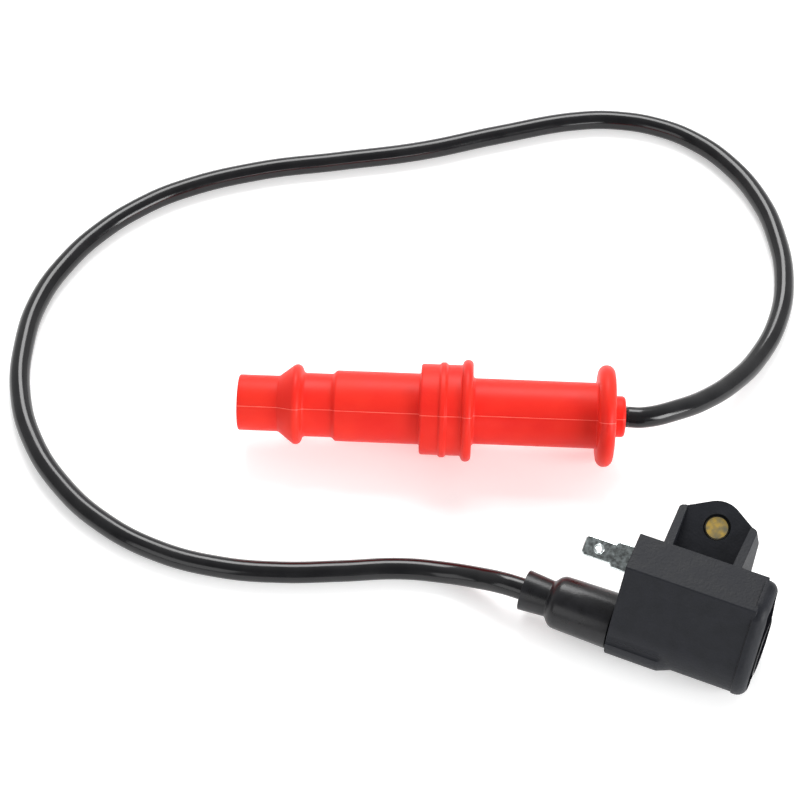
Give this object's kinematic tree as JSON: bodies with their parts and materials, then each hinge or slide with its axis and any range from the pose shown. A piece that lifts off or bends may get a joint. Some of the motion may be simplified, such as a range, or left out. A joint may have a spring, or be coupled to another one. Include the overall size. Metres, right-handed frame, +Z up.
{
  "type": "ignition coil",
  "caption": "Potted ignition coil with a mounting ear, blade terminal, rubber-capped tower, black high-tension lead and red silicone spark plug boot.",
  "frame": {"origin": "centre of the case's flat base, half way along the case", "axes": "+X along the case towards its open, potted end; +Y from the sloped front towards the mounting ear; +Z up through the flat top"},
  "size_m": [0.2801, 0.2504, 0.0364],
  "materials": {
    "case_plastic": "fine-grained moulded black plastic",
    "potting_resin": "glossy cast resin",
    "bobbin_plastic": "moulded natural nylon",
    "core_steel": "rolled electrical steel",
    "copper_wire": "enamelled copper wire",
    "brass": "turned brass",
    "zinc_plate": "zinc-plated steel",
    "black_rubber": "glossy moulded rubber",
    "lead_jacket": "glossy extruded jacket",
    "red_silicone": "satin moulded silicone rubber",
    "phenolic": "moulded phenolic",
    "ceramic": "fired ceramic"
  },
  "bodies": {
    "root": {"coil_case": "case_plastic", "potting_plug": "potting_resin", "threaded_insert": "brass", "ground_strap": "brass", "spade_terminal": "zinc_plate", "core_lamination_1": "core_steel", "core_lamination_2": "core_steel", "core_lamination_3": "core_steel", "core_lamination_4": "core_steel", "core_lamination_5": "core_steel", "primary_bobbin": "bobbin_plastic", "primary_winding": "copper_wire", "secondary_bobbin": "bobbin_plastic", "secondary_winding_1": "copper_wire", "secondary_winding_2": "copper_wire", "secondary_winding_3": "copper_wire", "secondary_winding_4": "copper_wire", "supply_wire": "copper_wire", "return_wire": "copper_wire", "high_tension_post": "brass", "high_tension_contact": "brass", "tower_cap": "black_rubber", "lead_coil_end": "lead_jacket", "plug_boot": "red_silicone", "plug_clip": "zinc_plate", "clip_spring": "zinc_plate", "boot_insulator": "phenolic", "suppression_resistor": "ceramic", "resistor_spring": "zinc_plate", "lead_screw": "brass", "lead_boot_end": "lead_jacket", "high_tension_lead": "lead_jacket"}
  },
  "joints": []
}
